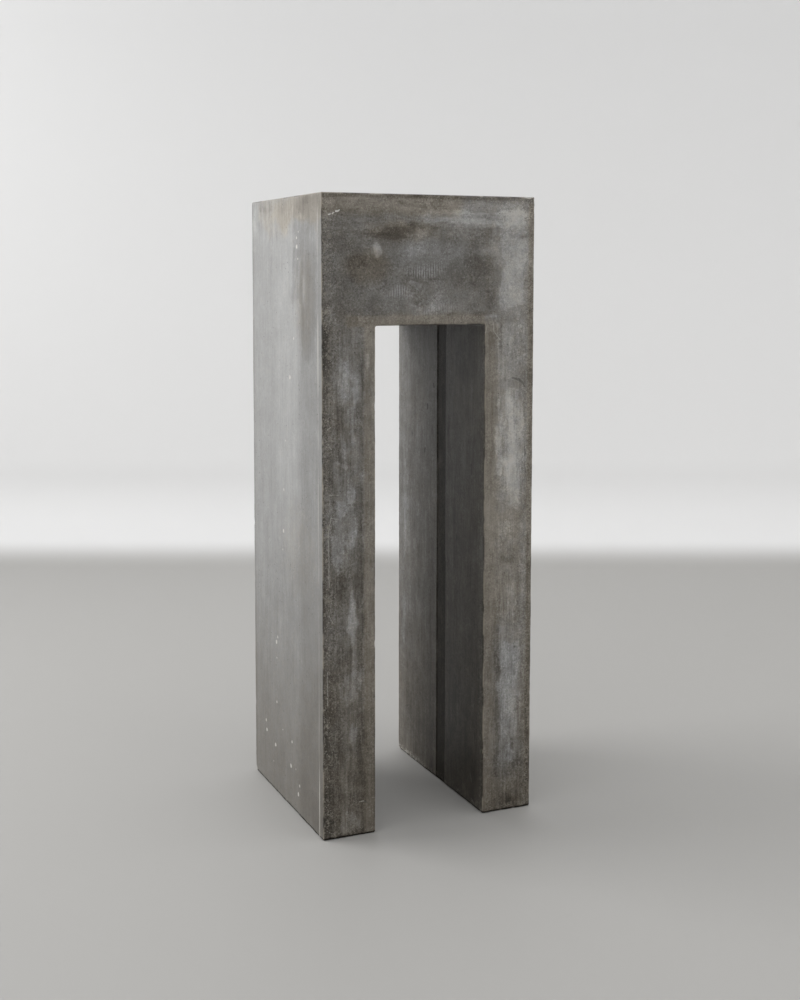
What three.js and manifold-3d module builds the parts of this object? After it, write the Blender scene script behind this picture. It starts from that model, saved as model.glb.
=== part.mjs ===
// A tall portal plinth, cast in one piece from a grey cement composite: two slab legs under a deep lintel.
// The passage between the legs runs straight through from front to back, and down to the floor.
// Millimetres, +Z up, +X to the right along the front, +Y towards the back.
// The origin is on the floor, at the middle of the footprint.
import * as THREE from "three";
import { mergeVertices } from "three/addons/utils/BufferGeometryUtils.js";
import Module from "manifold-3d";

// Driving sizes of the casting
const height = 1000;
const width = 364;
const depth = 342;
const legThickness = 88;
const lintelHeight = 202;

// The arrises are softened by the mould and by handling, those that run front to back a little more
const arrisRadius = 2;
const sideArrisSpare = 0.6;
const arcSegments = 4;

// The mould's core came apart in two halves, and their joint left a shallow band round the passage
const bandFromFront = 143;
const bandWidth = 35;
const bandDepth = 1.4;

// A bite out of the top front arris, near the right corner
const biteFromCorner = 11;
const biteLength = 13;
const biteReach = 6;
const biteDrop = 3;

// A row of chips along the right leg's inner foot arris, from the back corner, each smaller than the last
const chipCount = 4;
const chipPitch = 17;
const chipLength = 16;
const chipBite = 5;
const chipShrink = 0.8;

// Three corners of the feet are rubbed away over their lowest stretch
const rubHeight = 58;
const rubDepth = 3;

// A knock has taken the left leg's back outer foot corner
const knockSize = 8;

// How far a block that cuts an open recess runs past the casting
const overrun = 5;

const halfWidth = width / 2;
const halfDepth = depth / 2;
const passageHalfWidth = halfWidth - legThickness;
const passageHeight = height - lintelHeight;

// The front view: its convex corners turn outwards, and the two under the lintel turn inwards
function portalOutline() {
  const radius = arrisRadius + sideArrisSpare;
  const corners = [
    [-halfWidth, 0],
    [-passageHalfWidth, 0],
    [-passageHalfWidth, passageHeight],
    [passageHalfWidth, passageHeight],
    [passageHalfWidth, 0],
    [halfWidth, 0],
    [halfWidth, height],
    [-halfWidth, height],
  ].map(([x, z]) => new THREE.Vector2(x, z));
  const outline = new THREE.Shape();
  corners.forEach((corner, i) => {
    const back = corners.at(i - 1).clone().sub(corner).setLength(radius);
    const on = corners[(i + 1) % corners.length].clone().sub(corner).setLength(radius);
    const centre = corner.clone().add(back).add(on);
    const clockwise = on.cross(back) < 0;
    if (i === 0) outline.moveTo(corner.x + back.x, corner.y + back.y);
    else outline.lineTo(corner.x + back.x, corner.y + back.y);
    const from = Math.atan2(-on.y, -on.x);
    const to = Math.atan2(-back.y, -back.x);
    outline.absarc(centre.x, centre.y, radius, from, to, clockwise);
  });
  outline.closePath();
  return outline;
}

// The front view, run back over the depth, with its front and back arrises rounded
function castBody() {
  const geometry = new THREE.ExtrudeGeometry(portalOutline(), {
    depth: depth - 2 * arrisRadius,
    curveSegments: arcSegments,
    bevelThickness: arrisRadius,
    bevelSize: arrisRadius,
    bevelOffset: -arrisRadius,
    bevelSegments: arcSegments,
  });
  // The outline's upright axis becomes the height, and its depth runs from the back to the front
  geometry.rotateX(Math.PI / 2);
  geometry.translate(0, halfDepth - arrisRadius, 0);
  return geometry;
}

// The band that the core's joint left, as the block that it takes from both legs and the lintel
function coreJointBand() {
  const tall = passageHeight + bandDepth + overrun;
  const block = new THREE.BoxGeometry(2 * (passageHalfWidth + bandDepth), bandWidth, tall);
  block.translate(0, bandFromFront + bandWidth / 2 - halfDepth, tall / 2 - overrun);
  return block;
}

// A rounded lump that takes a chip out of an arris or a corner: its centre and its half-sizes
function lump(place, halfSizes) {
  const stone = new THREE.IcosahedronGeometry(1, 1);
  stone.scale(...halfSizes);
  stone.translate(...place);
  return stone;
}

function topBite() {
  const place = [halfWidth - biteFromCorner, -halfDepth, height];
  return lump(place, [biteLength / 2, biteReach, biteDrop]);
}

function footChips() {
  return Array.from({ length: chipCount }, (_, i) => {
    const size = chipShrink ** i;
    const place = [passageHalfWidth, halfDepth - i * chipPitch, 0];
    return lump(place, [chipBite * size, (chipLength / 2) * size, chipBite * size]);
  });
}

function rubbedCorners() {
  const corners = [
    [halfWidth, -halfDepth],
    [-passageHalfWidth, -halfDepth],
    [halfWidth, halfDepth],
  ];
  return corners.map(([x, y]) => lump([x, y, 0], [rubDepth, rubDepth, rubHeight]));
}

function knockedCorner() {
  return lump([-halfWidth, halfDepth, 0], [knockSize, knockSize, knockSize]);
}

const wasm = await Module();
wasm.setup();

// A closed geometry as a solid, with its shared vertices merged
function solid(geometry) {
  const bare = geometry.clone();
  bare.deleteAttribute("normal");
  bare.deleteAttribute("uv");
  const merged = mergeVertices(bare, 1e-4);
  const vertProperties = merged.attributes.position.array;
  const triVerts = new Uint32Array(merged.index.array);
  return new wasm.Manifold(new wasm.Mesh({ numProp: 3, vertProperties, triVerts }));
}

// A solid as a geometry
function geometryOf(made) {
  const { vertProperties, triVerts } = made.getMesh();
  const geometry = new THREE.BufferGeometry();
  geometry.setAttribute("position", new THREE.BufferAttribute(vertProperties, 3));
  geometry.setIndex(new THREE.BufferAttribute(triVerts, 1));
  geometry.computeVertexNormals();
  return geometry;
}

const losses = [coreJointBand(), topBite(), ...footChips(), ...rubbedCorners(), knockedCorner()];
const casting = losses.reduce((body, loss) => body.subtract(solid(loss)), solid(castBody()));

const castCement = new THREE.MeshStandardMaterial({ color: 0x6f6d68, roughness: 0.62, metalness: 0 });

const plinth = new THREE.Mesh(geometryOf(casting), castCement);
plinth.name = "portal_plinth";

const part = new THREE.Group();
part.add(plinth);

export default part;
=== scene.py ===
# %% [markdown]
# A portal plinth of cast cement.
# The object is one casting, a metre tall: two slab legs under a deep lintel, with a passage right through it.
# Its shape is plain, so all of its character is in the skin. Pale bloom, brown stains, streaks left by wiping
# and waxing, sandy rims along the arrises and small chips all have to be made here.
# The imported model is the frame. This script dresses it and never moves or resizes it.

# %% Load the frame
import math

import bpy
import numpy as np
from mathutils import Matrix, Vector, noise


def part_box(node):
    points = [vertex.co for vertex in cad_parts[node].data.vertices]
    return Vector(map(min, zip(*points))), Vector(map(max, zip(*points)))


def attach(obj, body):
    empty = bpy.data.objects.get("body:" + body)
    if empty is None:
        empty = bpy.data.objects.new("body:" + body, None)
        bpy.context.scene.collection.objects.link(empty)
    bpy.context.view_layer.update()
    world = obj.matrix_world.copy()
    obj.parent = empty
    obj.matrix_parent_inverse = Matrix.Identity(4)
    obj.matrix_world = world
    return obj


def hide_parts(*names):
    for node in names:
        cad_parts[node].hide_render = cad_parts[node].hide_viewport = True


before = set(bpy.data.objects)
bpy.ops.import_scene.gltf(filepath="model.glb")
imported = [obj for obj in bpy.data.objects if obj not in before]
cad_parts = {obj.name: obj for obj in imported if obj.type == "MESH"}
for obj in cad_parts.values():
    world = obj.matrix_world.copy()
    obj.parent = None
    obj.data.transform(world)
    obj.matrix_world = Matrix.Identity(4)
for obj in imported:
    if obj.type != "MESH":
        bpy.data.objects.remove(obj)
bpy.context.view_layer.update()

# %% [markdown]
# The casting's sizes come from the frame where it holds them. The legs, the lintel and the band are not in
# its box, so they are named here, in millimetres like the drawing that the casting was made from.

# %% Sizes of the casting
MM = 0.001

low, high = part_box("portal_plinth")
half_width = high.x
half_depth = high.y
height = high.z

leg_thickness = 88 * MM
lintel_height = 202 * MM
passage_half = half_width - leg_thickness
passage_height = height - lintel_height

arris_radius = 2.0 * MM
passage_fillet = 3.4 * MM

# The joint of the mould's core, a shallow band round the passage
band_front = 143 * MM - half_depth
band_back = band_front + 35 * MM
band_depth = 1.4 * MM
print("the passage is", round(2 * passage_half, 3), "m wide and", round(passage_height, 3), "m high")

# %% [markdown]
# The camera comes early, because every look at the work goes through it.
# The photograph was taken with a shifted lens, which keeps the uprights nearly parallel, so the camera is
# shifted a little as well. Its place and angles were fitted to the edges of the object, to under a pixel.

# %% Camera
PICTURE_TALL = 1000
SENSOR = 36
focal_pixels = 1371.6
# How far below the picture's top edge the optical axis meets it, in pixels
axis_down = 388
camera_place = Vector((-0.9018, -2.1074, 0.8750))
camera_yaw = 0.4131
camera_pitch = 0.0818
camera_roll = 0.00105

lens = bpy.data.cameras.new("camera")
lens.sensor_width = SENSOR
lens.lens = focal_pixels / PICTURE_TALL * SENSOR
lens.shift_y = axis_down / PICTURE_TALL - 0.5
camera = bpy.data.objects.new("camera", lens)
bpy.context.scene.collection.objects.link(camera)
turn = Matrix.Rotation(-camera_yaw, 4, "Z") @ Matrix.Rotation(math.pi / 2 - camera_pitch, 4, "X")
camera.matrix_world = Matrix.Translation(camera_place) @ turn @ Matrix.Rotation(camera_roll, 4, "Z")
bpy.context.scene.camera = camera
print("the lens is", round(lens.lens, 1), "mm, shifted by", round(lens.shift_y, 3))

# %% [markdown]
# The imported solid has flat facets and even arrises. The visible casting is a finer skin over the same form.
# It could be the solid, bevelled and subdivided, but that spends most of its faces on flat ground. Here the
# skin is cut from a grid whose lines crowd together at each arris and spread out between them, so the faces
# go where the wear is.

# %% A grid that is fine at the arrises
FINEST = 0.8 * MM
WIDEST = 5.0 * MM
WIDEST_BACKWARDS = 9.0 * MM
GROWTH = 1.4


def graded(start, end, widest):
    """Grid lines from start to end, close together at both ends."""
    middle = (end - start) / 2
    steps, step = [0.0], FINEST
    while steps[-1] < middle:
        steps.append(steps[-1] + step)
        step = min(step * GROWTH, widest)
    near = np.array(steps) * middle / steps[-1]
    return np.concatenate([start + near, end - near[-2::-1]])


def grid_lines(stops, widest):
    """Graded grid lines through all the stops."""
    spans = [graded(a, b, widest) for a, b in zip(stops, stops[1:])]
    return np.concatenate([spans[0]] + [span[1:] for span in spans[1:]])


lines_x = grid_lines([-half_width, -passage_half, passage_half, half_width], WIDEST)
lines_y = grid_lines([-half_depth, band_front, band_back, half_depth], WIDEST_BACKWARDS)
lines_z = grid_lines([0.0, passage_height, height], WIDEST)
print("grid lines along x, y and z:", len(lines_x), len(lines_y), len(lines_z))

# %% The skin between full and empty cells


def middles(lines):
    return (lines[1:] + lines[:-1]) / 2


def skin(full, lines):
    """Points and quads of the surface between full and empty cells, facing out."""
    padded = np.pad(full, 1).astype(int)
    quads = []
    for a in range(3):
        b, c = (a + 1) % 3, (a + 2) % 3
        change = np.diff(padded, axis=a)
        for side in (-1, 1):
            cells = np.argwhere(change == side)
            cells[:, [b, c]] -= 1
            corners = []
            for along_b, along_c in ((0, 0), (1, 0), (1, 1), (0, 1))[::-side]:
                corner = cells.copy()
                corner[:, b] += along_b
                corner[:, c] += along_c
                corners.append(np.ravel_multi_index(corner.T, [len(line) for line in lines]))
            quads.append(np.stack(corners, 1))
    used, quads = np.unique(np.concatenate(quads), return_inverse=True)
    at = np.unravel_index(used, [len(line) for line in lines])
    points = np.stack([line[i] for line, i in zip(lines, at)], 1)
    return points, quads.reshape(-1, 4)


in_passage_x = np.abs(middles(lines_x)) < passage_half
in_passage_z = middles(lines_z) < passage_height
empty = in_passage_x[:, None, None] & in_passage_z[None, None, :]
full = np.repeat(~empty, len(lines_y) - 1, axis=1)
points, quads = skin(full, (lines_x, lines_y, lines_z))
print("the skin has", len(points), "points and", len(quads), "quads")

# %% [markdown]
# Wear rounds the arrises unevenly. The worn form is written as a gap: a distance to the surface, negative
# inside the casting. Each point of the skin then walks down the gap until it lies on the worn surface.
# The gap only ever takes material away, so the casting stays inside its box.

# %% The worn form as a gap


def meet(gaps, radius):
    """Several gaps as one, with the arrises where they meet rounded to the radius."""
    lifted = np.stack(gaps) + radius
    return np.minimum(lifted.max(0), 0) + np.linalg.norm(np.maximum(lifted, 0), axis=0) - radius


def passage_gap(p):
    """Negative inside the passage."""
    return meet([np.abs(p[:, 0]) - passage_half, p[:, 2] - passage_height], passage_fillet)


def plane_gaps(p):
    """Gaps to the sides, the front and back, the top, the floor and the passage."""
    x, y, z = np.abs(p[:, 0]), np.abs(p[:, 1]), p[:, 2]
    return [x - half_width, y - half_depth, z - height, -z, -passage_gap(p)]


def casting_gap(p, softness, hollow):
    body = meet(plane_gaps(p), softness) + hollow
    from_band = np.abs(p[:, 1] - (band_front + band_back) / 2) - (band_back - band_front) / 2
    return np.maximum(body, -np.maximum(passage_gap(p) - band_depth, from_band))


def ripple(p, size, seed):
    """Smooth noise from -1 to 1 at each point, with features about as large as size."""
    shift = Vector((seed * 7.3, seed * 3.1, seed * 5.7))
    return np.array([noise.noise(Vector(q) / size + shift) for q in p])


# %% Settling the skin on the worn form


def settle(p, softness, hollow, rounds=4, reach=0.02 * MM):
    """Moves each point onto the worn surface."""
    for _ in range(rounds):
        gap = casting_gap(p, softness, hollow)
        slope = np.stack(
            [casting_gap(p + reach * axis, softness, hollow) - gap for axis in np.eye(3)], 1
        )
        steepness = np.linalg.norm(slope, axis=1, keepdims=True)
        p = p - gap[:, None] * slope / np.maximum(steepness, 1e-9)
    return p


handling = 1 + 0.45 * ripple(points, 30 * MM, 1) + 0.35 * ripple(points, 7 * MM, 2)
foot_wear = 1 + 0.6 * np.exp(-points[:, 2] / (25 * MM))
softness = arris_radius * handling * foot_wear
hollow = 0.25 * MM * (1 + ripple(points, 160 * MM, 3))
skin_points = settle(points, softness, hollow)
print("the skin moved by up to", round(np.linalg.norm(skin_points - points, axis=1).max() / MM, 2), "mm")

# %% [markdown]
# A chip is where a knock has broken a lump out of an arris. The lump could be cut out with a boolean, but
# that breaks up the even grid. Here the skin is pushed in along the line that halves the two faces, down to
# the far side of a rounded lump. How far each point moved is kept as a field, which the material shows as
# bared cement.

# %% How a chip is made
broken = np.zeros(len(skin_points))
FULLY_BROKEN = 1.2 * MM


def chip(place, half_sizes, inward):
    """Pushes the points inside a rounded lump along inward, to its far side."""
    inward = np.array(inward, float) / np.linalg.norm(inward)
    away = (skin_points - place) / half_sizes
    inside = np.flatnonzero((away**2).sum(1) < 1)
    if not len(inside):
        return
    start, run = away[inside], inward / half_sizes
    a, b, c = run @ run, start @ run, (start**2).sum(1) - 1
    travel = (-b + np.sqrt(b * b - a * c)) / a
    skin_points[inside] += travel[:, None] * inward
    broken[inside] = np.maximum(broken[inside], np.clip(travel / FULLY_BROKEN, 0, 1))


# %% [markdown]
# The large chips have the places and sizes of those in the solid: a bite at the top front arris, a knocked
# foot corner, and a row along the right leg's inner foot arris, each smaller than the last.

# %% The large chips
BITE_FROM_CORNER = 11 * MM
BITE_HALF_SIZES = (6.5, 6, 3)
KNOCK_HALF_SIZES = (8, 8, 8)
FOOT_CHIPS = 4
FOOT_CHIP_PITCH = 17 * MM
FOOT_CHIP_HALF_SIZES = (5, 8, 5)
FOOT_CHIP_SHRINK = 0.8

bite_place = (half_width - BITE_FROM_CORNER, -half_depth, height)
chip(bite_place, np.array(BITE_HALF_SIZES) * MM, (0, 0.6, -1))
chip((-half_width, half_depth, 0), np.array(KNOCK_HALF_SIZES) * MM, (1, -1, 1))
for i in range(FOOT_CHIPS):
    chip_sizes = np.array(FOOT_CHIP_HALF_SIZES) * FOOT_CHIP_SHRINK**i * MM
    chip_inward = (1, -0.6, 1) if i == 0 else (1, 0, 1)
    chip((passage_half, half_depth - i * FOOT_CHIP_PITCH, 0), chip_sizes, chip_inward)
print("points in the large chips:", int((broken > 0).sum()))

# %% [markdown]
# Handling has left small nicks along every arris. They are drawn by chance, with a fixed seed, so that each
# run gives the same ones. Most are under two millimetres, and each is drawn out along its arris.

# %% Small nicks along the arrises
SMALLEST_NICK = 0.9
NICK_SPREAD = 1.9
rng = np.random.default_rng(7)


def nicks(start, end, inward, count):
    """Small chips scattered along an arris from start to end, in mm."""
    start, end = np.array(start, float), np.array(end, float)
    along = np.abs(end - start) / np.linalg.norm(end - start)
    for _ in range(count):
        place = start + (end - start) * rng.random()
        size = SMALLEST_NICK + NICK_SPREAD * rng.random() ** 4
        longer = 1 + along * (0.4 + 1.6 * rng.random())
        chip(place * MM, size * longer * MM, inward)


W, D, H, P, T = half_width / MM, half_depth / MM, height / MM, passage_half / MM, passage_height / MM
for side in (-1, 1):
    nicks((side * W, -D, 0), (side * W, -D, H), (-side, 1, 0), 16)
    nicks((side * P, -D, 0), (side * P, -D, T), (side, 1, 0), 12)
    nicks((side * W, D, 0), (side * W, D, H), (-side, -1, 0), 18)
    nicks((side * P, D, 0), (side * P, D, T), (side, -1, 0), 14)
    nicks((side * W, -D, H), (side * W, D, H), (-side, 0, -1), 14)
    nicks((side * W, -D, 0), (side * W, D, 0), (-side, 0, 1), 14)
    nicks((side * P, -D, 0), (side * P, D, 0), (side, 0, 1), 22)
for deep in (-1, 1):
    nicks((-W, deep * D, H), (W, deep * D, H), (0, -deep, -1), 20)
    nicks((-P, deep * D, T), (P, deep * D, T), (0, -deep, 1), 8)
    for side in (-1, 1):
        nicks((side * W, deep * D, 0), (side * P, deep * D, 0), (0, -deep, 1), 9)
print("points in chips and nicks:", int((broken > 0).sum()))

# %% [markdown]
# The stains are painted on the mesh as fields: one number per point. Tone runs from 0, nearly black, to 1,
# nearly white, and a hundredth of it is about one grey level in daylight. Warmth adds brown.
# Bloom and stain are painted too, but the material cuts them off at a ragged threshold, so that they get the
# crisp torn borders of wax and cement milk. That keeps the large marks where they are on the real casting,
# and needs no picture.

# %% Where each face is
NEAR = 0.01
x_mm, y_mm, z_mm = (points / MM).T
at_front = y_mm < -D + NEAR
at_back = y_mm > D - NEAR
at_left = x_mm < -W + NEAR
at_right = x_mm > W - NEAR
at_top = z_mm > H - NEAR
low_enough = z_mm < T + NEAR
inner_right = (np.abs(x_mm - P) < NEAR) & low_enough
inner_left = (np.abs(x_mm + P) < NEAR) & low_enough
soffit = (np.abs(z_mm - T) < NEAR) & (np.abs(x_mm) < P)
passage_walls = inner_left | inner_right | soffit
in_band = passage_walls & (points[:, 1] > band_front) & (points[:, 1] < band_back)
print("points on the front and the left side:", int(at_front.sum()), int(at_left.sum()))

# %% [markdown]
# A mark is laid with one of two brushes, a soft oval or a soft bar, each placed across and up on its face.
# Both wander with a noise, because no stain has a straight border.

# %% Two brushes
# Across each face from its left edge, as someone who stands before it sees it
across = {"front": x_mm + W, "left": D - y_mm, "inner": D - y_mm, "right": y_mm + D, "back": W - x_mm}
face_of = {"front": at_front, "left": at_left, "inner": inner_right, "right": at_right, "back": at_back}
wander = 6 * ripple(points, 34 * MM, 11) + 3 * ripple(points, 13 * MM, 12)
wander_up = 9 * ripple(points, 40 * MM, 13) + 4 * ripple(points, 15 * MM, 14)


def soft(value, low, high):
    """0 below low, 1 above high, and smooth between them."""
    share = np.clip((value - low) / (high - low), 0, 1)
    return share * share * (3 - 2 * share)


def oval(field, face, middle, half_size, amount):
    """Adds a soft oval to a field: its middle and half sizes are (across, up) in mm."""
    out = (across[face] + wander - middle[0]) / half_size[0]
    up = (z_mm + wander_up - middle[1]) / half_size[1]
    field += np.where(face_of[face], amount * (1 - soft(np.hypot(out, up), 0.4, 1.35)), 0)


def bar(field, face, sides, ends, amount, blur=3.0, loose=0.25):
    """Adds a bar to a field: its sides across and its ends up, in mm. A loose bar has wandering edges."""
    u, v = across[face] + loose * wander, z_mm + loose * wander_up
    inside = soft(u, sides[0] - blur, sides[0] + blur) * (1 - soft(u, sides[1] - blur, sides[1] + blur))
    inside *= soft(v, ends[0] - blur, ends[0] + blur) * (1 - soft(v, ends[1] - blur, ends[1] + blur))
    field += np.where(face_of[face], amount * inside, 0)


def tell(title, field, where):
    """Prints how a field runs over some of the points."""
    print(title, "from", round(field[where].min(), 2), "to", round(field[where].max(), 2))


# %% Tone and warmth of the plain ground
tone = np.full(len(points), 0.42)
warm = np.full(len(points), 0.25)
tone[at_top] = 0.62
tone[soffit] = 0.34
tone[inner_left] = 0.34
tone[at_right] = 0.66
tone[at_back] = 0.53
tone += 0.1 * ripple(points, 110 * MM, 21) + 0.08 * ripple(points, 45 * MM, 22)
tone[inner_right] = 0.55
tone[at_left] = 0.9
tone[at_front] = 0.49
warm += 0.2 * ripple(points, 90 * MM, 23)
warm[at_left] = 0.15
from_floor = 1 - soft(z_mm, 0, 480)
tone -= 0.2 * from_floor
warm += 0.3 * from_floor

bloom = np.where(at_left | at_top, 0.0, 0.12)
stain = np.where(at_left | at_top, 0.0, 0.12)
warm[at_front] += 0.12
warm[at_front & (x_mm > P)] += 0.12
tell("tone of the plain ground", tone, slice(None))

# %% [markdown]
# The lintel's front is the calmest ground: a pale cloud at the right with a dark mass beside it, and a brown
# strip along the top, where hands and water reach. The strokes place the marks where they are on the real
# casting, in millimetres from the left edge and from the floor.

# %% Tone of the lintel's front
bar(tone, "front", (-9, 375), (972, 1010), 0.16, 6)
bar(warm, "front", (-9, 230), (968, 1010), 0.6, 8)
bar(tone, "front", (-9, 375), (992.5, 998), -0.25, 1)
oval(tone, "front", (270, 968), (125, 24), 0.2)
oval(tone, "front", (110, 940), (70, 14), -0.06)
oval(tone, "front", (332, 900), (44, 90), 0.33)
oval(tone, "front", (322, 830), (34, 50), 0.08)
oval(tone, "front", (175, 914), (66, 30), 0.16)
oval(warm, "front", (180, 905), (80, 34), -0.25)
oval(tone, "front", (150, 980), (80, 10), -0.05)
oval(tone, "front", (180, 840), (70, 26), 0.09)
oval(tone, "front", (80, 886), (40, 20), -0.08)
oval(warm, "front", (75, 888), (40, 24), 0.6)
oval(warm, "front", (130, 944), (60, 14), 0.5)
oval(tone, "front", (40, 880), (34, 70), -0.05)
bar(tone, "front", (60, 300), (798, 813), 0.13)
oval(tone, "front", (28, 952), (50, 20), 0.12)
oval(tone, "front", (100, 955), (40, 12), 0.06)
oval(tone, "front", (245, 950), (54, 18), 0.16)
oval(tone, "front", (284, 912), (22, 22), 0.14)
oval(tone, "front", (170, 822), (80, 16), 0.08)
oval(tone, "front", (276, 820), (24, 12), 0.08)
bar(warm, "front", (40, 276), (798, 815), 0.6)
tell("tone of the front", tone, at_front)

# %% Bloom and stains of the lintel's front
bar(bloom, "front", (300, 349), (822, 956), 0.6, 6, 1.0)
oval(bloom, "front", (304, 893), (10, 8), -0.8)
bar(bloom, "front", (168, 348), (957, 979), 0.6, 5, 0.8)
oval(bloom, "front", (262, 966), (60, 8), 0.35)
oval(bloom, "front", (92, 912), (7, 14), 1.2)
oval(tone, "front", (92, 912), (9, 16), 0.3)
oval(warm, "front", (92, 912), (10, 17), 0.2)
oval(bloom, "front", (285, 813), (20, 7), 0.6)
oval(bloom, "front", (155, 862), (15, 6), 0.6)
oval(bloom, "front", (180, 832), (60, 16), 0.3)
oval(bloom, "front", (150, 905), (80, 26), 0.2)
oval(bloom, "front", (60, 812), (24, 14), 0.3)
oval(stain, "front", (112, 941), (62, 10), 0.6)
oval(stain, "front", (166, 952), (32, 7), 0.6)
oval(stain, "front", (160, 986), (48, 4), 0.8)
oval(stain, "front", (60, 893), (34, 13), 0.5)
oval(stain, "front", (256, 880), (56, 34), 0.5)
oval(stain, "front", (288, 865), (14, 44), 0.55)
oval(stain, "front", (158, 843), (7, 10), 1.0)
oval(stain, "front", (180, 868), (18, 6), 0.7)
oval(stain, "front", (268, 816), (13, 4), 0.9)
oval(stain, "front", (276, 935), (14, 20), 0.5)
oval(stain, "front", (215, 812), (11, 6), 0.6)
oval(stain, "front", (20, 830), (20, 18), 0.5)
tell("bloom of the lintel's front", bloom, at_front & (z_mm > T))

# %% [markdown]
# Each leg has a rubbed strip beside the passage, paler and warmer than the rest. The left leg is dark with
# torn pale blooms, and the right leg has one long pale patch in its upper half and another near its foot.

# %% Tone of the legs' fronts
bar(tone, "front", (-9, 18), (0, 798), -0.08)
oval(tone, "front", (9, 480), (10, 90), 0.1)
bar(tone, "front", (-9, 5), (0, 1000), -0.12, 1)
bar(warm, "front", (354, 363), (20, 990), 0.6, 2)
bar(tone, "front", (355, 361.5), (20, 990), -0.14, 1.5)
oval(tone, "front", (42, 660), (28, 130), 0.14)
oval(tone, "front", (44, 500), (22, 80), 0.12)
oval(tone, "front", (48, 345), (14, 55), 0.12)
oval(tone, "front", (46, 200), (22, 70), 0.1)
bar(tone, "front", (71, 99), (0, 800), 0.14)
bar(warm, "front", (69, 99), (0, 800), 0.45)
bar(tone, "front", (270, 375), (20, 800), 0.14, 6)
bar(warm, "front", (270, 297), (0, 800), 0.4, 9, 1.0)
bar(warm, "front", (270, 340), (60, 320), -0.35, 20, 1.0)
bar(warm, "front", (282, 345), (280, 500), 0.3, 12, 1.5)
oval(tone, "front", (324, 610), (34, 130), 0.3)
oval(tone, "front", (326, 765), (30, 50), 0.16)
oval(tone, "front", (325, 205), (30, 150), 0.13)
oval(tone, "front", (325, 420), (30, 90), 0.06)
tell("tone of the legs' fronts", tone, at_front & (z_mm < T))

# %% Bloom and stains of the left leg's front
bar(bloom, "front", (12, 70), (0, 798), 0.07, 8)
bar(stain, "front", (5, 70), (0, 798), 0.09, 8)
oval(bloom, "front", (42, 700), (20, 70), 0.4)
oval(bloom, "front", (54, 702), (6, 15), 0.4)
oval(bloom, "front", (73, 742), (4, 14), 0.8)
oval(bloom, "front", (52, 628), (8, 16), 0.6)
oval(bloom, "front", (32, 615), (10, 26), 0.5)
oval(bloom, "front", (38, 588), (20, 6), 0.6)
oval(bloom, "front", (48, 536), (7, 13), 1.1)
oval(bloom, "front", (30, 518), (13, 9), 0.9)
oval(bloom, "front", (26, 455), (13, 34), 0.55)
oval(bloom, "front", (49, 470), (8, 24), 0.5)
oval(bloom, "front", (50, 345), (8, 42), 0.85)
oval(bloom, "front", (44, 238), (18, 32), 0.5)
oval(bloom, "front", (52, 165), (9, 22), 0.6)
oval(bloom, "front", (42, 22), (20, 15), 0.6)
oval(bloom, "front", (23, 120), (4, 4), 1.1)
oval(stain, "front", (9, 740), (12, 50), 0.5)
oval(stain, "front", (67, 725), (5, 30), 0.6)
oval(stain, "front", (62, 650), (8, 30), 0.45)
oval(stain, "front", (53, 563), (8, 15), 1.0)
oval(stain, "front", (43, 541), (6, 11), 0.8)
oval(stain, "front", (18, 522), (5, 5), 1.1)
bar(stain, "front", (56, 67), (290, 560), 0.7, 4, 0.8)
bar(stain, "front", (56, 67), (100, 290), 0.4, 4, 0.8)
oval(stain, "front", (46, 285), (8, 26), 0.6)
oval(stain, "front", (30, 400), (12, 20), 0.4)
oval(stain, "front", (58, 10), (13, 8), 0.8)
tell("stains of the left leg's front", stain, at_front & (x_mm < -P))

# %% Bloom and stains of the right leg's front
bar(bloom, "front", (297, 308), (555, 680), 0.75, 3, 0.8)
bar(bloom, "front", (313, 347), (530, 700), 0.5, 9, 1.0)
oval(bloom, "front", (324, 780), (22, 30), 0.35)
oval(bloom, "front", (335, 515), (14, 34), 0.5)
oval(bloom, "front", (312, 470), (16, 14), 0.4)
oval(bloom, "front", (320, 350), (22, 40), 0.35)
bar(bloom, "front", (304, 343), (118, 285), 0.55, 7, 1.0)
oval(bloom, "front", (322, 92), (14, 22), 0.6)
oval(stain, "front", (292, 775), (16, 16), 0.5)
oval(stain, "front", (304, 710), (18, 10), 0.4)
oval(stain, "front", (322, 418), (16, 6), 0.7)
bar(stain, "front", (296, 304), (60, 330), 0.75, 3, 0.8)
oval(stain, "front", (335, 231), (5, 6), 1.2)
oval(stain, "front", (331, 108), (4, 11), 1.1)
oval(stain, "front", (338, 75), (14, 14), 0.6)
oval(stain, "front", (320, 20), (40, 16), 0.5)
tell("stains of the right leg's front", stain, at_front & (x_mm > P))

# %% [markdown]
# The left side was polished more than the others, so it is pale and even and takes the room's light. It has
# a tan, mottled top, a darker patch with a crisp left border, and gets darker and browner towards the floor.
# The darkening towards the floor is partly painted shade, since less of the lamp's light reaches low down.

# %% Strokes on the left side
bar(tone, "left", (238, 345), (0, 1000), -0.12, 18)
bar(stain, "left", (205, 322), (832, 915), 0.6, 3, 2.0)
bar(tone, "left", (212, 322), (900, 990), -0.05, 6, 1.5)
oval(stain, "left", (284, 800), (44, 76), 0.75)
oval(tone, "left", (262, 835), (46, 75), -0.08)
oval(warm, "left", (265, 835), (44, 80), 0.3)
oval(tone, "left", (265, 850), (6, 30), 0.25)
oval(tone, "left", (280, 985), (80, 24), -0.12)
oval(warm, "left", (282, 982), (80, 26), 0.9)
oval(stain, "left", (285, 992), (50, 8), 0.5)
oval(tone, "left", (180, 720), (70, 260), 0.08)
oval(tone, "left", (200, 370), (90, 60), -0.05)
bar(tone, "left", (-9, 9), (0, 1000), -0.12)
bar(tone, "left", (328, 351), (0, 1000), -0.05)
oval(warm, "left", (160, 965), (50, 28), 0.5)
oval(tone, "left", (160, 968), (34, 20), -0.06)
bar(warm, "left", (40, 345), (955, 1010), 0.45, 12, 2.5)
bar(tone, "left", (-9, 351), (982, 1010), -0.06, 7, 2.0)
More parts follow.
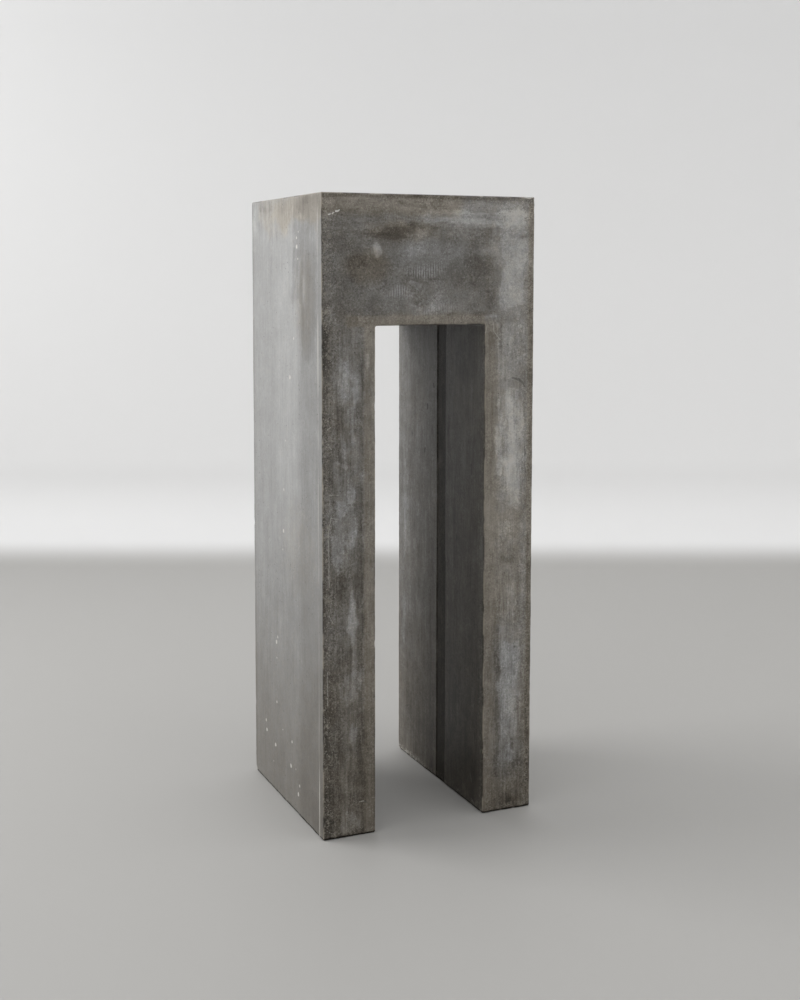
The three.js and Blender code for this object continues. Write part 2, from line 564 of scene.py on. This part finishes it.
oval(stain, "left", (205, 970), (26, 16), 0.6)
oval(stain, "left", (90, 985), (60, 9), 0.5)
oval(bloom, "left", (255, 968), (24, 12), 0.6)
oval(bloom, "left", (60, 962), (30, 16), 0.45)
oval(bloom, "left", (150, 860), (60, 90), 0.2)
# Painted shade in part: the left side is darkened towards the floor, where less light falls on it.
tone -= np.where(at_left, 0.19 * (1 - soft(z_mm, -250, 640)), 0)
oval(warm, "left", (240, 440), (90, 80), 0.2)
tell("tone of the left side", tone, at_left)

# %% [markdown]
# Inside the passage the right leg's face is painted pale near the back and dark near the front: painted light
# and shade, since more light comes in through the back of the passage than through the front. The soffit and
# the left leg's face are darker than the outside, and all are darkest in the band of the core's joint, where
# nothing rubs.

# %% Strokes on the right leg's inner face
# Painted light and shade: paler near the back and darker towards the front, as the light through the passage
# falls off.
bar(tone, "inner", (50, 345), (0, 800), -0.04, 45)
oval(tone, "inner", (8, 560), (38, 300), 0.12)
bar(tone, "inner", (165, 345), (0, 800), -0.16, 8)
oval(stain, "inner", (213, 610), (11, 60), 0.6)
oval(stain, "inner", (262, 730), (36, 60), 0.6)
oval(stain, "inner", (140, 775), (34, 30), 0.6)
oval(stain, "inner", (242, 400), (14, 120), 0.5)
oval(bloom, "inner", (30, 480), (12, 160), 0.4)
oval(bloom, "inner", (24, 250), (12, 60), 0.5)
oval(tone, "inner", (260, 250), (70, 260), -0.12)
oval(tone, "inner", (280, 740), (40, 50), -0.12)
bar(tone, "inner", (118, 165), (0, 420), -0.11, 24)
# More painted light near the back, low down.
oval(tone, "inner", (8, 70), (44, 150), 0.13)
bar(tone, "inner", (165, 198), (0, 800), -0.25, 2)
bar(tone, "inner", (165, 198), (0, 300), 0.09, 30)
tone[in_band & ~inner_right] -= 0.2
tell("tone of the inner face", tone, inner_right)

# %% [markdown]
# The right side, the back and the inside of the left leg are not in the photograph. They get the same kinds
# of marks in keeping with the others, but fewer: strips along the edges, a few blooms and a few stains.

# %% Strokes on the hidden sides
for near_edge in (0, 342):
    bar(tone, "right", (near_edge - 12, near_edge + 12), (0, 1000), -0.1)
bar(warm, "right", (-9, 351), (976, 1010), 0.5, 5, 1.0)
oval(bloom, "right", (110, 620), (60, 190), 0.42)
oval(bloom, "right", (262, 300), (46, 170), 0.35)
oval(stain, "right", (236, 850), (70, 60), 0.4)
oval(stain, "right", (60, 180), (40, 130), 0.35)
for edges in ((70, 88), (276, 294)):
    bar(tone, "back", edges, (0, 800), 0.1, 3, 0.8)
    bar(warm, "back", edges, (0, 800), 0.6, 3, 0.8)
bar(warm, "back", (-9, 373), (975, 1010), 0.5, 5, 1.0)
bar(tone, "back", (-9, 14), (0, 1000), -0.1)
bar(tone, "back", (350, 373), (0, 1000), -0.1)
oval(bloom, "back", (120, 900), (80, 46), 0.4)
oval(bloom, "back", (330, 520), (24, 170), 0.45)
oval(stain, "back", (270, 880), (70, 44), 0.45)
oval(stain, "back", (40, 420), (24, 160), 0.4)
tell("tone of the back", tone, at_back)

# %% [markdown]
# How sandy, uneven, streaky and glossy the cement is changes over the surface as well. Upright faces are
# streaked by wiping, the top is swept, and the passage is dull. The material multiplies its noises by these.

# %% Sand, streaks and sheen
sandy = np.full(len(points), 0.8)
sandy[passage_walls] = 0.75
sandy[at_left] = 0.42
sandy[at_right] = 0.6
sandy[at_front] = 0.97
bar(sandy, "front", (-9, 22), (0, 1010), 0.3, 8, 1.5)
bar(sandy, "front", (345, 375), (0, 1010), 0.2, 5, 1.0)
oval(sandy, "front", (335, 980), (36, 22), 0.5)
bar(sandy, "front", (69, 99), (0, 800), -0.25)
bar(sandy, "front", (270, 297), (0, 800), -0.2, 8, 1.0)
uneven = np.full(len(points), 0.9)
bar(uneven, "front", (69, 99), (0, 800), -0.15)
bar(uneven, "front", (270, 297), (0, 800), -0.2, 8, 1.0)
uneven[at_left] = 0.36
bar(uneven, "left", (-9, 351), (930, 1010), 0.35, 14, 2.0)
uneven[at_right] = 0.7
uneven[passage_walls] = 0.75
streaky = np.full(len(points), 0.9)
streaky[(at_front | at_back) & (z_mm > T)] = 0.12
streaky[at_top] = 0.0
swept = np.where(at_front | at_back, soft(z_mm, 900, 950), 0.0)
swept[at_top] = 1.0
sheen = np.full(len(points), 0.9)
sheen[passage_walls] = 0.45
sheen[in_band] = 0.12
rim = np.sort(-np.stack(plane_gaps(points)), axis=0)[1] / MM
crumbs = np.where(inner_right, (1 - soft(z_mm, 5, 13)) * soft(y_mm, 30, 120), 0.0)
hatch = np.zeros(len(points))
oval(hatch, "front", (172, 882), (36, 10), 1.0)
oval(hatch, "front", (128, 846), (24, 9), 0.8)
oval(hatch, "front", (190, 822), (40, 9), 0.4)
tell("sheen", sheen, slice(None))

# %% [markdown]
# The fields are kept on the mesh as attributes, which the material reads by name. A colour layer could hold
# them too, but it clips its values and has only four channels.

# %% The visible casting
mesh = bpy.data.meshes.new("cast_plinth")
mesh.from_pydata(skin_points.tolist(), [], quads.tolist())
mesh.shade_smooth()
fields = {
    "tone": tone,
    "warm": warm,
    "bloom": bloom,
    "stain": stain,
    "sandy": sandy,
    "uneven": uneven,
    "streaky": streaky,
    "swept": swept,
    "sheen": sheen,
    "rim": rim,
    "hatch": hatch,
    "crumbs": crumbs,
    "broken": broken,
    "left_face": at_left.astype(float),
}
for name, values in fields.items():
    mesh.attributes.new(name, "FLOAT", "POINT").data.foreach_set("value", values.astype(np.float32))
plinth = bpy.data.objects.new("cast_plinth", mesh)
bpy.context.scene.collection.objects.link(plinth)
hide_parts("portal_plinth")
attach(plinth, "root")
print("the visible casting has", len(mesh.polygons), "faces")

# %% [markdown]
# The material is built from nodes. A few short helpers keep each step of it to one readable line: one makes
# a node, one does sums, one turns a value into a soft mask, and one lays a colour over another.

# %% Node helpers


def put(tree, kind, inputs=None, **settings):
    """A new node with its settings. inputs gives a value or an output for each named input."""
    made = tree.nodes.new(kind)
    for name, value in settings.items():
        setattr(made, name, value)
    for name, value in (inputs or {}).items():
        if isinstance(value, bpy.types.NodeSocket):
            tree.links.new(value, made.inputs[name])
        else:
            made.inputs[name].default_value = value
    return made


def maths(tree, operation, *values):
    """The result of a Math node."""
    return put(tree, "ShaderNodeMath", dict(enumerate(values)), operation=operation).outputs[0]


def vector_maths(tree, operation, output, inputs):
    """The result of a Vector Math node."""
    return put(tree, "ShaderNodeVectorMath", inputs, operation=operation).outputs[output]


# %% Helpers for masks and colours


def between(tree, value, low, high):
    """0 below low, 1 above high, and smooth between them."""
    ends = {"Value": value, "From Min": low, "From Max": high}
    return put(tree, "ShaderNodeMapRange", ends, interpolation_type="SMOOTHSTEP").outputs["Result"]


def blended(tree, share, under, over, how="MIX"):
    """One colour laid over another by a share."""
    made = put(tree, "ShaderNodeMix", data_type="RGBA", blend_type=how)
    for at, value in ((0, share), (6, under), (7, over)):
        if isinstance(value, bpy.types.NodeSocket):
            tree.links.new(value, made.inputs[at])
        else:
            made.inputs[at].default_value = value if at == 0 else (*value, 1)
    return made.outputs[2]


def ramp(tree, value, stops):
    """A colour for each value, through stops of (value, colour)."""
    made = put(tree, "ShaderNodeValToRGB", {"Fac": value})
    elements = made.color_ramp.elements
    while len(elements) < len(stops):
        elements.new(0.5)
    for element, (at, colour) in zip(elements, stops):
        element.position = at
        element.color = (*colour, 1)
    return made.outputs["Color"]


# %% [markdown]
# One material covers the casting. It could be painted as an image, but an image has one resolution and shows
# its seams. Noises laid out in the object's own millimetres keep their grain on every side. Their sizes are
# those that would be measured on the cement, from clouds of 60 mm down to sand of 2 mm.

# %% Cement and its noises
cement = bpy.data.materials.new("cast_cement")
cement.use_nodes = True
tree = cement.node_tree
surface = tree.nodes["Principled BSDF"]
place = put(tree, "ShaderNodeTexCoord").outputs["Object"]
axes = put(tree, "ShaderNodeSeparateXYZ", {0: place}).outputs


def field(name):
    return put(tree, "ShaderNodeAttribute", attribute_name=name).outputs["Fac"]


def stretched(factors):
    return vector_maths(tree, "MULTIPLY", "Vector", {0: place, 1: factors})


def clouds(vector, size, detail=4.0, roughness=0.55, swirl=0.0):
    """Noise about zero, with features as large as size."""
    inputs = {"Vector": vector, "Scale": 1 / size, "Detail": detail, "Roughness": roughness}
    made = put(tree, "ShaderNodeTexNoise", {**inputs, "Distortion": swirl})
    return maths(tree, "SUBTRACT", made.outputs["Fac"], 0.5)


large = clouds(place, 60 * MM, 3, 0.5, 0.8)
billows = clouds(place, 44 * MM, 9, 0.74, 0.2)
torn = clouds(stretched((1, 1, 0.7)), 20 * MM, 8, 0.72, 0.3)
mottle = clouds(place, 12 * MM, 6, 0.7)
streaks = clouds(stretched((1, 1, 0.13)), 20 * MM, 9, 0.74)
sweeps = clouds(stretched((0.16, 0.16, 1)), 16 * MM, 8, 0.72, 0.3)
hairs = clouds(stretched((1, 1, 0.06)), 5.0 * MM, 4, 0.85)
sand = clouds(place, 2.4 * MM, 3, 0.8)
grit = clouds(place, 4.0 * MM, 4, 0.85)
print("the noises take", len(tree.nodes), "nodes")

# %% Sums of several values


def add(*values):
    total = values[0]
    for value in values[1:]:
        total = maths(tree, "ADD", total, value)
    return total


def times(*values):
    product = values[0]
    for value in values[1:]:
        product = maths(tree, "MULTIPLY", product, value)
    return product


def inverse(value):
    return maths(tree, "SUBTRACT", 1.0, value)


# %% [markdown]
# Bloom is pale cement milk, and a stain is where wax or water soaked in. Both are cut off where the painted
# field and a fine noise together pass one half. Where the field falls steeply the border is crisp, and where
# it falls gently the patch breaks up into islands. The combing is a trowel's fine ripple, in three places.

# %% Bloom, stains and combing
streaky = field("streaky")
swept = field("swept")
ragged = add(times(torn, 1.5), times(streaks, streaky, 1.7), times(sweeps, swept, 1.5))
bloom_here = between(tree, add(field("bloom"), ragged), 0.34, 0.7)
stain_here = between(tree, maths(tree, "SUBTRACT", field("stain"), ragged), 0.34, 0.7)
comb_wave = maths(tree, "SINE", times(add(axes["X"], times(torn, 3 * MM)), 2 * math.pi / (4.2 * MM)))
comb = times(between(tree, comb_wave, 0.0, 0.9), field("hatch"))
patches = add(times(bloom_here, 0.17), times(stain_here, -0.13), times(comb, 0.36))
print("bloom and stains bring it to", len(tree.nodes), "nodes")

# %% [markdown]
# The ground between the patches is never even. Clouds come from the pour, streaks from wiping the sides, and
# sand from the mix, which shows in some places and is polished over in others.

# %% Unevenness and sand
sandy = field("sandy")
drift = add(times(streaks, streaky), times(hairs, streaky, 0.8), times(sweeps, swept))
drift = add(drift, times(mottle, 0.2))
unevenness = times(add(times(large, 0.2), times(billows, 0.95), drift), field("uneven"))
pale_sand = times(between(tree, sand, 0.06, 0.14), 0.17)
dark_sand = times(between(tree, sand, -0.06, -0.14), -0.13)
gritty_share = maths(tree, "MULTIPLY_ADD", between(tree, torn, -0.08, 0.08), 0.7, 0.2)
gritty = times(maths(tree, "MULTIPLY_ADD", between(tree, grit, -0.1, 0.1), 0.3, -0.15), gritty_share)
sanding = times(add(times(pale_sand, sandy), times(dark_sand, sandy), times(sand, 0.12), gritty), sandy)
tone_here = add(field("tone"), unevenness, sanding, patches)
print("unevenness and sand bring it to", len(tree.nodes), "nodes")

# %% [markdown]
# Tone becomes colour through a ramp. The dark end is brown, as wax on cement is, and the pale end is nearly
# neutral. The ramp holds tones from 0 to 1 only, so they are divided by the palest first.

# %% Colour of the ground
PALEST = 1.25
GROUND = [
    (0.0, (0.0225, 0.0195, 0.0155)),
    (0.25, (0.068, 0.061, 0.051)),
    (0.5, (0.138, 0.132, 0.122)),
    (0.75, (0.229, 0.228, 0.224)),
    (1.0, (0.350, 0.351, 0.348)),
    (PALEST, (0.500, 0.497, 0.485)),
]
stops = [(at / PALEST, colour) for at, colour in GROUND]
colour = ramp(tree, times(tone_here, 1 / PALEST), stops)

warm_field = add(field("warm"), times(mottle, 1.0), times(bloom_here, -0.12))
warm_here = between(tree, warm_field, 0.05, 1.0)
colour = blended(tree, times(warm_here, 0.85), colour, (1.09, 0.98, 0.82), "MULTIPLY")
print("the ramp has", len(GROUND), "stops")

# %% [markdown]
# Near the arrises the cement is coarser: pale grains stand out, and lime has crept out in small curls and
# crusts. Pinholes are where air was trapped against the mould.

# %% Grains, crust and pinholes


def dots(size, share, radius):
    """Round dots scattered one to a cell, in a share of the cells."""
    cells = put(tree, "ShaderNodeTexVoronoi", {"Vector": place, "Scale": 1 / size})
    lot = put(tree, "ShaderNodeSeparateColor", {0: cells.outputs["Color"]}).outputs[0]
    near = inverse(between(tree, cells.outputs["Distance"], radius * 0.6, radius))
    return times(maths(tree, "LESS_THAN", lot, share), near)


rim_here = field("rim")
near_rim = inverse(between(tree, add(rim_here, times(mottle, 14)), 9, 20))
grain_amount = times(dots(4.0 * MM, 0.35, 0.3), add(0.13, times(near_rim, 0.24)), sandy)
colour = blended(tree, grain_amount, colour, (0.42, 0.39, 0.33))

crust_noise = clouds(place, 7 * MM, 4, 0.7)
crust = times(between(tree, crust_noise, 0.06, 0.11), near_rim, sandy)
colour = blended(tree, times(crust, 0.45), colour, (0.27, 0.25, 0.21))
curl_noise = clouds(place, 9 * MM, 2, 0.5, 1.2)
curls = inverse(between(tree, maths(tree, "ABSOLUTE", curl_noise), 0.008, 0.03))
curls = times(curls, between(tree, torn, -0.02, 0.08), add(near_rim, 0.12), sandy)
colour = blended(tree, times(curls, 0.55), colour, (0.30, 0.28, 0.24))

holes = dots(13 * MM, 0.35, 0.1)
colour = blended(tree, times(holes, 0.7), colour, (0.03, 0.027, 0.022))
print("grains, crust and pinholes bring it to", len(tree.nodes), "nodes")

# %% [markdown]
# Handling has rubbed the arrises. The same rubbing leaves them pale where it bared the cement, and dark where
# wax and dirt filled it again, so a large noise chooses between the two.

# %% Worn arrises
wear = inverse(between(tree, add(rim_here, times(sand, 3)), 0.8, 2.6))
pale_wear = times(wear, between(tree, large, -0.05, 0.08))
colour = blended(tree, times(pale_wear, 0.7), colour, (0.30, 0.27, 0.22))
dark_wear = times(wear, between(tree, large, 0.03, -0.08))
colour = blended(tree, times(dark_wear, 0.6), colour, (0.04, 0.036, 0.03))
print("worn arrises bring it to", len(tree.nodes), "nodes")

# %% [markdown]
# The lowest few millimetres of the feet are painted nearly black: painted contact shade where the feet meet
# the floor, together with some dirt, draws the thin dark line under them. The right leg's inner foot arris
# has crumbled, and the bared cement there is pale.

# %% Painted contact shade with dirt, and crumbs at the feet
# Painted contact shade with some dirt: up to about 4.6 mm above the floor the colour goes nearly black.
foot_shade_height = add(axes["Z"], times(mottle, 4 * MM))
foot_shade_and_dirt = inverse(between(tree, foot_shade_height, 2.4 * MM, 4.6 * MM))
colour = blended(tree, times(foot_shade_and_dirt, 0.9), colour, (0.014, 0.012, 0.010))
crumbled = times(field("crumbs"), between(tree, add(sand, grit), 0.0, 0.1))
colour = blended(tree, times(crumbled, 0.9), colour, (0.62, 0.60, 0.55))
print("dirt and crumbs bring it to", len(tree.nodes), "nodes")

# %% [markdown]
# A board of the mould ended just short of the front on the left side, and cement milk ran out along it. It
# left a pale upright line, clearest in its upper half and just above the foot. White specks ran down that
# side too, most of them in one stream.

# %% The pale line on the left side
LINE_FROM_FRONT = 17
line_distance = maths(tree, "ABSOLUTE", maths(tree, "SUBTRACT", axes["Y"], (LINE_FROM_FRONT - D) * MM))
line_edge = maths(tree, "MULTIPLY_ADD", sand, 2.5 * MM, line_distance)
line = inverse(between(tree, line_edge, 1.2 * MM, 3.0 * MM))
upper = maths(tree, "MULTIPLY_ADD", between(tree, axes["Z"], 0.35, 0.6), 0.6, 0.35)
clear = add(upper, times(between(tree, axes["Z"], 0.13, 0.07), 0.7))
line = times(line, field("left_face"), between(tree, streaks, -0.12, 0.08), clear)
colour = blended(tree, times(line, 0.8), colour, (0.46, 0.45, 0.41))
print("the pale line runs", LINE_FROM_FRONT, "mm behind the front")

# %% White specks on the left side
jitter = put(tree, "ShaderNodeTexNoise", {"Vector": place, "Scale": 1 / (4 * MM), "Detail": 1.0})
jitter_size = Vector((3, 3, 3)) * MM
shifted = {0: jitter.outputs["Color"], 1: jitter_size, 2: place}
shifted = vector_maths(tree, "MULTIPLY_ADD", "Vector", shifted)
half_shift = jitter_size / 2

SPECK_HEIGHTS = (943, 934, 920, 901, 775, 712, 607, 525, 456, 424, 270, 260, 233, 157, 80, 48)
FOOT_SPECKS = [(196, 112), (190, 70), (214, 72), (232, 50), (226, 34), (150, 118), (60, 108), (64, 92)]
stream = [(100 + 150 * (up / H) ** 1.3 + 7 * math.sin(5 * i), up) for i, up in enumerate(SPECK_HEIGHTS)]
nearest = 9.0
for i, (back, up) in enumerate(stream + FOOT_SPECKS):
    speck = Vector((-W, D - back, up)) * MM + half_shift
    away = vector_maths(tree, "DISTANCE", "Value", {0: shifted, 1: speck})
    nearest = maths(tree, "MINIMUM", nearest, maths(tree, "DIVIDE", away, (1.6 + 1.0 * (i % 3)) * MM))
specks = times(inverse(between(tree, nearest, 0.7, 1.1)), field("left_face"))
colour = blended(tree, times(specks, 0.8), colour, (0.62, 0.60, 0.56))
print("specks:", len(stream + FOOT_SPECKS))

# %% [markdown]
# Scratches and splashes are thinner than the mesh, so they are drawn by the material. Each is a straight
# stroke, and a mark is wherever the distance to the nearest stroke is under the stroke's own width.

# %% Masks of thin marks


def on_face(face, u, up):
    """The place on a face at (across, up) in mm."""
    if face == "front":
        return Vector((u - W, -D, up)) * MM
    return Vector((P, D - u, up)) * MM


def thin_marks(face, marks):
    """A mask of strokes on a face: (start, end, width) of each, with ends as (across, up), in mm."""
    nearest = 9.0
    for start, end, width in marks:
        first = on_face(face, *start)
        way = on_face(face, *end) - first
        from_first = vector_maths(tree, "SUBTRACT", "Vector", {0: shifted, 1: first + half_shift})
        along = vector_maths(tree, "DOT_PRODUCT", "Value", {0: from_first, 1: way / way.length_squared})
        along = put(tree, "ShaderNodeClamp", {"Value": along}).outputs[0]
        on_stroke = vector_maths(tree, "SCALE", "Vector", {0: way, "Scale": along})
        away = vector_maths(tree, "DISTANCE", "Value", {0: from_first, 1: on_stroke})
        nearest = maths(tree, "MINIMUM", nearest, maths(tree, "DIVIDE", away, width / 2 * MM))
    return inverse(between(tree, nearest, 0.5, 1.4))


# %% Marks on the front
SPLASHES = [
    ((12, 966), (15, 967), 2.2),
    ((18, 968), (20, 969), 2.0),
    ((23, 971), (29, 973), 2.4),
]
PALE_SCRATCHES = [
    ((11, 400), (10, 482), 1.6),
    ((10, 482), (14, 506), 1.4),
    ((14, 506), (27, 503), 1.2),
    ((12, 541), (27, 541), 1.2),
    ((8, 214), (8, 268), 1.4),
    ((11, 355), (17, 342), 1.4),
    ((17, 694), (20, 682), 1.4),
    ((8, 640), (14, 646), 1.4),
    ((9, 622), (15, 611), 1.4),
    ((291, 800), (292, 786), 1.6),
    ((292, 786), (304, 773), 1.6),
    ((280, 797), (276, 780), 1.4),
    ((344, 696), (352, 688), 1.4),
    ((337, 528), (349, 522), 1.2),
    ((60, 54), (69, 54), 1.2),
]
DARK_SCRATCHES = [
    ((326, 712), (337, 709), 3.0),
    ((337, 709), (345, 703), 4.0),
    ((345, 703), (349, 697), 2.4),
    ((349, 600), (350, 584), 1.8),
    ((350, 574), (351, 552), 1.8),
    ((333, 272), (333.5, 271), 3.6),
    ((69, 54), (75, 50), 1.6),
]
print("marks on the front:", len(SPLASHES + PALE_SCRATCHES + DARK_SCRATCHES))

# %% Marks on the inner face, and all of them laid over the colour
INNER_SCRATCHES = [
    ((199.5, 10), (199.5, 790), 1.8),
    ((295, 568), (296, 552), 3.0),
    ((125, 652), (126, 645), 4.0),
    ((115, 574), (114, 568), 5.0),
    ((150, 690), (151, 684), 3.4),
    ((60, 600), (61, 592), 3.0),
]
INNER_SCUFFS = [
    ((297, 52), (303, 40), 2.2),
    ((303, 12), (312, 6), 2.6),
]
MARKS = [
    ("front", SPLASHES, 0.9, (0.66, 0.65, 0.62)),
    ("front", PALE_SCRATCHES, 0.75, (0.36, 0.35, 0.32)),
    ("front", DARK_SCRATCHES, 0.65, (0.07, 0.066, 0.058)),
    ("inner", INNER_SCRATCHES, 0.85, (0.025, 0.023, 0.02)),
    ("inner", INNER_SCUFFS, 0.4, (0.22, 0.21, 0.20)),
]
for face, marks, share, mark_colour in MARKS:
    colour = blended(tree, times(thin_marks(face, marks), share), colour, mark_colour)
print("scratches and splashes:", sum(len(marks) for _, marks, _, _ in MARKS))

# %% [markdown]
# Broken cement is paler and dry. Elsewhere a thin wax gives a soft sheen, less on the pale bloom and least
# inside the passage, where nobody polishes. The relief is under a millimetre, so a bump is enough.

# %% Broken cement, sheen and relief
colour = blended(tree, times(field("broken"), 0.8), colour, (0.36, 0.33, 0.28))
tree.links.new(colour, surface.inputs["Base Color"])

roughness = between(tree, add(tone_here, 0.2), 0.0, 1.6)
tree.links.new(maths(tree, "MULTIPLY_ADD", roughness, 0.25, 0.33), surface.inputs["Roughness"])
# The painted contact shade and dirt at the feet takes the sheen away there as well.
tree.links.new(times(field("sheen"), inverse(foot_shade_and_dirt), 0.5), surface.inputs["Specular IOR Level"])
relief = add(times(sand, sandy), times(mottle, 0.6), times(holes, -1.0))
bump = put(tree, "ShaderNodeBump", {"Height": relief, "Strength": 0.35, "Distance": 0.7 * MM})
tree.links.new(bump.outputs["Normal"], surface.inputs["Normal"])
plinth.data.materials.append(cement)
print("the cement has", len(tree.nodes), "nodes")

# %% [markdown]
# The studio is a plain room: a floor, and walls that rise from it in a small cove. The line between them lies
# low behind the object, because the waxed side mirrors both. One large soft lamp stands to the left.

# %% The room's outline
ROOM_BACK = 1.74
ROOM_FRONT = 3.4
ROOM_SIDE = 2.8
CORNER_RADIUS = 0.8
COVE_RADIUS = 0.25
WALL_TOP = 3.2
COVE_STEPS = 14
CORNER_STEPS = 12

profile = [(0.0, 0.0)]
for i in range(1, COVE_STEPS + 1):
    angle = math.pi / 2 * i / COVE_STEPS
    profile.append((COVE_RADIUS * math.sin(angle), COVE_RADIUS * (1 - math.cos(angle))))
profile.append((COVE_RADIUS, WALL_TOP))


def room_ring(out):
    """The room's outline, moved outwards by out."""
    ring = []
    for k, (side, deep) in enumerate(((1, ROOM_BACK), (-1, ROOM_BACK), (-1, -ROOM_FRONT), (1, -ROOM_FRONT))):
        centre = Vector((side * (ROOM_SIDE - CORNER_RADIUS), deep - math.copysign(CORNER_RADIUS, deep)))
        for j in range(CORNER_STEPS + 1):
            angle = math.pi / 2 * (k + j / CORNER_STEPS)
            ring.append(centre + (CORNER_RADIUS + out) * Vector((math.cos(angle), math.sin(angle))))
    return ring


print("the room's outline has", len(room_ring(0)), "points")

# %% The room's mesh, with its far wall square to the view
room_points = [(0.0, 0.0, 0.0)]
for out, up in profile:
    room_points += [(spot.x, spot.y, up) for spot in room_ring(out)]
around = len(room_ring(0))
room_faces = [(0, 1 + i, 1 + (i + 1) % around) for i in range(around)]
for k in range(len(profile) - 1):
    for i in range(around):
        a, b = 1 + k * around + i, 1 + k * around + (i + 1) % around
        room_faces.append((a, a + around, b + around, b))
room_mesh = bpy.data.meshes.new("studio_room")
room_mesh.from_pydata(room_points, [], room_faces)
room_mesh.shade_smooth()
studio = bpy.data.objects.new("studio_room", room_mesh)
studio.rotation_euler.z = -camera_yaw
bpy.context.scene.collection.objects.link(studio)

print("the room has", len(room_mesh.polygons), "faces")

# %% The room's paint, with painted light and shade
paint = bpy.data.materials.new("studio_paint")
paint.use_nodes = True
paint_tree = paint.node_tree
paint_surface = paint_tree.nodes["Principled BSDF"]
paint_surface.inputs["Roughness"].default_value = 0.6
paint_place = put(paint_tree, "ShaderNodeTexCoord").outputs["Object"]
spot = put(paint_tree, "ShaderNodeSeparateXYZ", {0: paint_place})
# Painted light and shade: the floor and walls are made paler on the side away from the lamp, which also
# lightens the casting's shadow on the floor there, and the walls darker high up, where the open top lets more
# light reach them.
floor_grey = (0.358, 0.352, 0.340)
floor_grey_painted_light = (0.415, 0.408, 0.394)
WALL_WITH_PAINTED_SHADE = [(0.0, (0.65,) * 3), (0.15, (0.78,) * 3), (0.4, (0.73,) * 3), (0.82, (0.62,) * 3)]
up_the_wall = maths(paint_tree, "MULTIPLY", spot.outputs["Z"], 0.5)
far_side_painted_light = between(paint_tree, spot.outputs["X"], -1.6, 1.6)
wall_near = ramp(paint_tree, up_the_wall, WALL_WITH_PAINTED_SHADE)
wall_colour = blended(paint_tree, far_side_painted_light, wall_near, (1.2, 1.2, 1.2), "MULTIPLY")
above_floor = between(paint_tree, spot.outputs["Z"], 0.0, 0.06)
floor_colour = blended(paint_tree, far_side_painted_light, floor_grey, floor_grey_painted_light)
room_colour = blended(paint_tree, above_floor, floor_colour, wall_colour)
paint_tree.links.new(room_colour, paint_surface.inputs["Base Color"])
room_mesh.materials.append(paint)
print("the paint has", len(paint_tree.nodes), "nodes")

# %% Light
scene = bpy.context.scene
scene.view_settings.view_transform = "Standard"
world = bpy.data.worlds.new("studio")
scene.world = world
world.use_nodes = True
world.node_tree.nodes["Background"].inputs["Color"].default_value = (1.0, 1.0, 1.0, 1)
world.node_tree.nodes["Background"].inputs["Strength"].default_value = 1.2


def soft_light(name, place, aim, size, power):
    """A large soft lamp that the camera doesn't see."""
    light = bpy.data.lights.new(name, "AREA")
    light.shape = "RECTANGLE"
    light.size, light.size_y = size
    light.energy = power
    lamp = bpy.data.objects.new(name, light)
    scene.collection.objects.link(lamp)
    lamp.location = place
    lamp.rotation_euler = (Vector(aim) - Vector(place)).to_track_quat("-Z", "Y").to_euler()
    lamp.visible_camera = False
    return lamp


soft_light("left_lamp", (-2.3, 1.3, 1.9), (0, 0, 1.3), (1.8, 1.6), 60)
